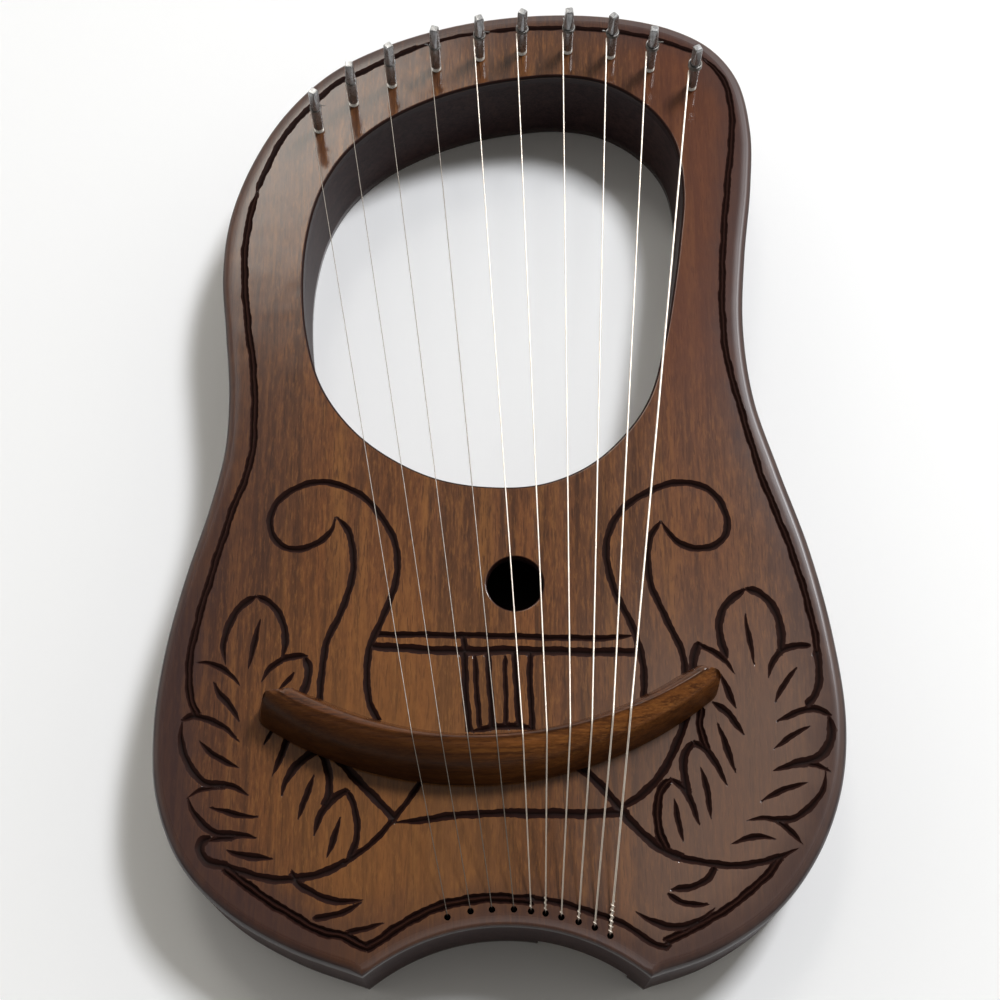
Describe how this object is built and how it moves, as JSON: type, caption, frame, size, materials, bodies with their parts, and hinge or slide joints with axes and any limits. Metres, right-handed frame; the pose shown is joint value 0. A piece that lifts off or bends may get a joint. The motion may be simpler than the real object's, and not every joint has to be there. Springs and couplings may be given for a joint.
{
  "type": "lyre",
  "caption": "Hand-held lyre harp with an arched opening in a hollow hardwood body, a curved bridge, steel strings and tuning pins that turn.",
  "frame": {"origin": "middle of the body's outline, on the back face; the lyre lies on its back", "axes": "+Z out of the soundboard, +Y to the tuning pins, +X to the bass side"},
  "size_m": [0.27, 0.4256, 0.0755],
  "materials": {
    "soundboard_wood": "gloss lacquer over carved hardwood",
    "body_wood": "gloss lacquer, dark stain",
    "bridge_wood": "gloss lacquer",
    "brace_wood": "bare",
    "pin_steel": "nickel plated",
    "plain_string": "bright",
    "wound_string": "bright bronze winding",
    "ball_brass": "bright"
  },
  "bodies": {
    "body": {"soundboard": "soundboard_wood", "back_plate": "body_wood", "pin_block": "body_wood", "left_rib": "body_wood", "right_rib": "body_wood", "tail_block": "body_wood", "waist_rail": "body_wood", "upper_brace": "brace_wood", "bridge_brace": "brace_wood", "bridge": "bridge_wood", "string_1": "plain_string", "string_2": "plain_string", "string_3": "plain_string", "string_4": "plain_string", "string_5": "wound_string", "string_6": "wound_string", "string_7": "wound_string", "string_8": "wound_string", "string_9": "wound_string", "string_10": "wound_string", "ball_end_1": "ball_brass", "ball_end_2": "ball_brass", "ball_end_3": "ball_brass", "ball_end_4": "ball_brass", "ball_end_5": "ball_brass", "ball_end_6": "ball_brass", "ball_end_7": "ball_brass", "ball_end_8": "ball_brass", "ball_end_9": "ball_brass", "ball_end_10": "ball_brass"},
    "pin_1": {"tuning_pin_1": "pin_steel", "string_winding_1": "plain_string"},
    "pin_2": {"tuning_pin_2": "pin_steel", "string_winding_2": "plain_string"},
    "pin_3": {"tuning_pin_3": "pin_steel", "string_winding_3": "plain_string"},
    "pin_4": {"tuning_pin_4": "pin_steel", "string_winding_4": "plain_string"},
    "pin_5": {"tuning_pin_5": "pin_steel", "string_winding_5": "wound_string"},
    "pin_6": {"tuning_pin_6": "pin_steel", "string_winding_6": "wound_string"},
    "pin_7": {"tuning_pin_7": "pin_steel", "string_winding_7": "wound_string"},
    "pin_8": {"tuning_pin_8": "pin_steel", "string_winding_8": "wound_string"},
    "pin_9": {"tuning_pin_9": "pin_steel", "string_winding_9": "wound_string"},
    "pin_10": {"tuning_pin_10": "pin_steel", "string_winding_10": "wound_string"}
  },
  "joints": [
    {"name": "pin_1_turn", "type": "hinge", "parent": "body", "child": "pin_1", "pos_m": [-0.0799, 0.1516, 0.046], "axis": [0, 0, 1], "continuous": true},
    {"name": "pin_2_turn", "type": "hinge", "parent": "body", "child": "pin_2", "pos_m": [-0.065, 0.1652, 0.046], "axis": [0, 0, 1], "continuous": true},
    {"name": "pin_3_turn", "type": "hinge", "parent": "body", "child": "pin_3", "pos_m": [-0.0482, 0.1749, 0.046], "axis": [0, 0, 1], "continuous": true},
    {"name": "pin_4_turn", "type": "hinge", "parent": "body", "child": "pin_4", "pos_m": [-0.0286, 0.1835, 0.046], "axis": [0, 0, 1], "continuous": true},
    {"name": "pin_5_turn", "type": "hinge", "parent": "body", "child": "pin_5", "pos_m": [-0.0091, 0.1892, 0.046], "axis": [0, 0, 1], "continuous": true},
    {"name": "pin_6_turn", "type": "hinge", "parent": "body", "child": "pin_6", "pos_m": [0.0098, 0.1923, 0.046], "axis": [0, 0, 1], "continuous": true},
    {"name": "pin_7_turn", "type": "hinge", "parent": "body", "child": "pin_7", "pos_m": [0.0303, 0.1929, 0.046], "axis": [0, 0, 1], "continuous": true},
    {"name": "pin_8_turn", "type": "hinge", "parent": "body", "child": "pin_8", "pos_m": [0.0496, 0.1903, 0.046], "axis": [0, 0, 1], "continuous": true},
    {"name": "pin_9_turn", "type": "hinge", "parent": "body", "child": "pin_9", "pos_m": [0.067, 0.1834, 0.046], "axis": [0, 0, 1], "continuous": true},
    {"name": "pin_10_turn", "type": "hinge", "parent": "body", "child": "pin_10", "pos_m": [0.0854, 0.1736, 0.046], "axis": [0, 0, 1], "continuous": true}
  ]
}
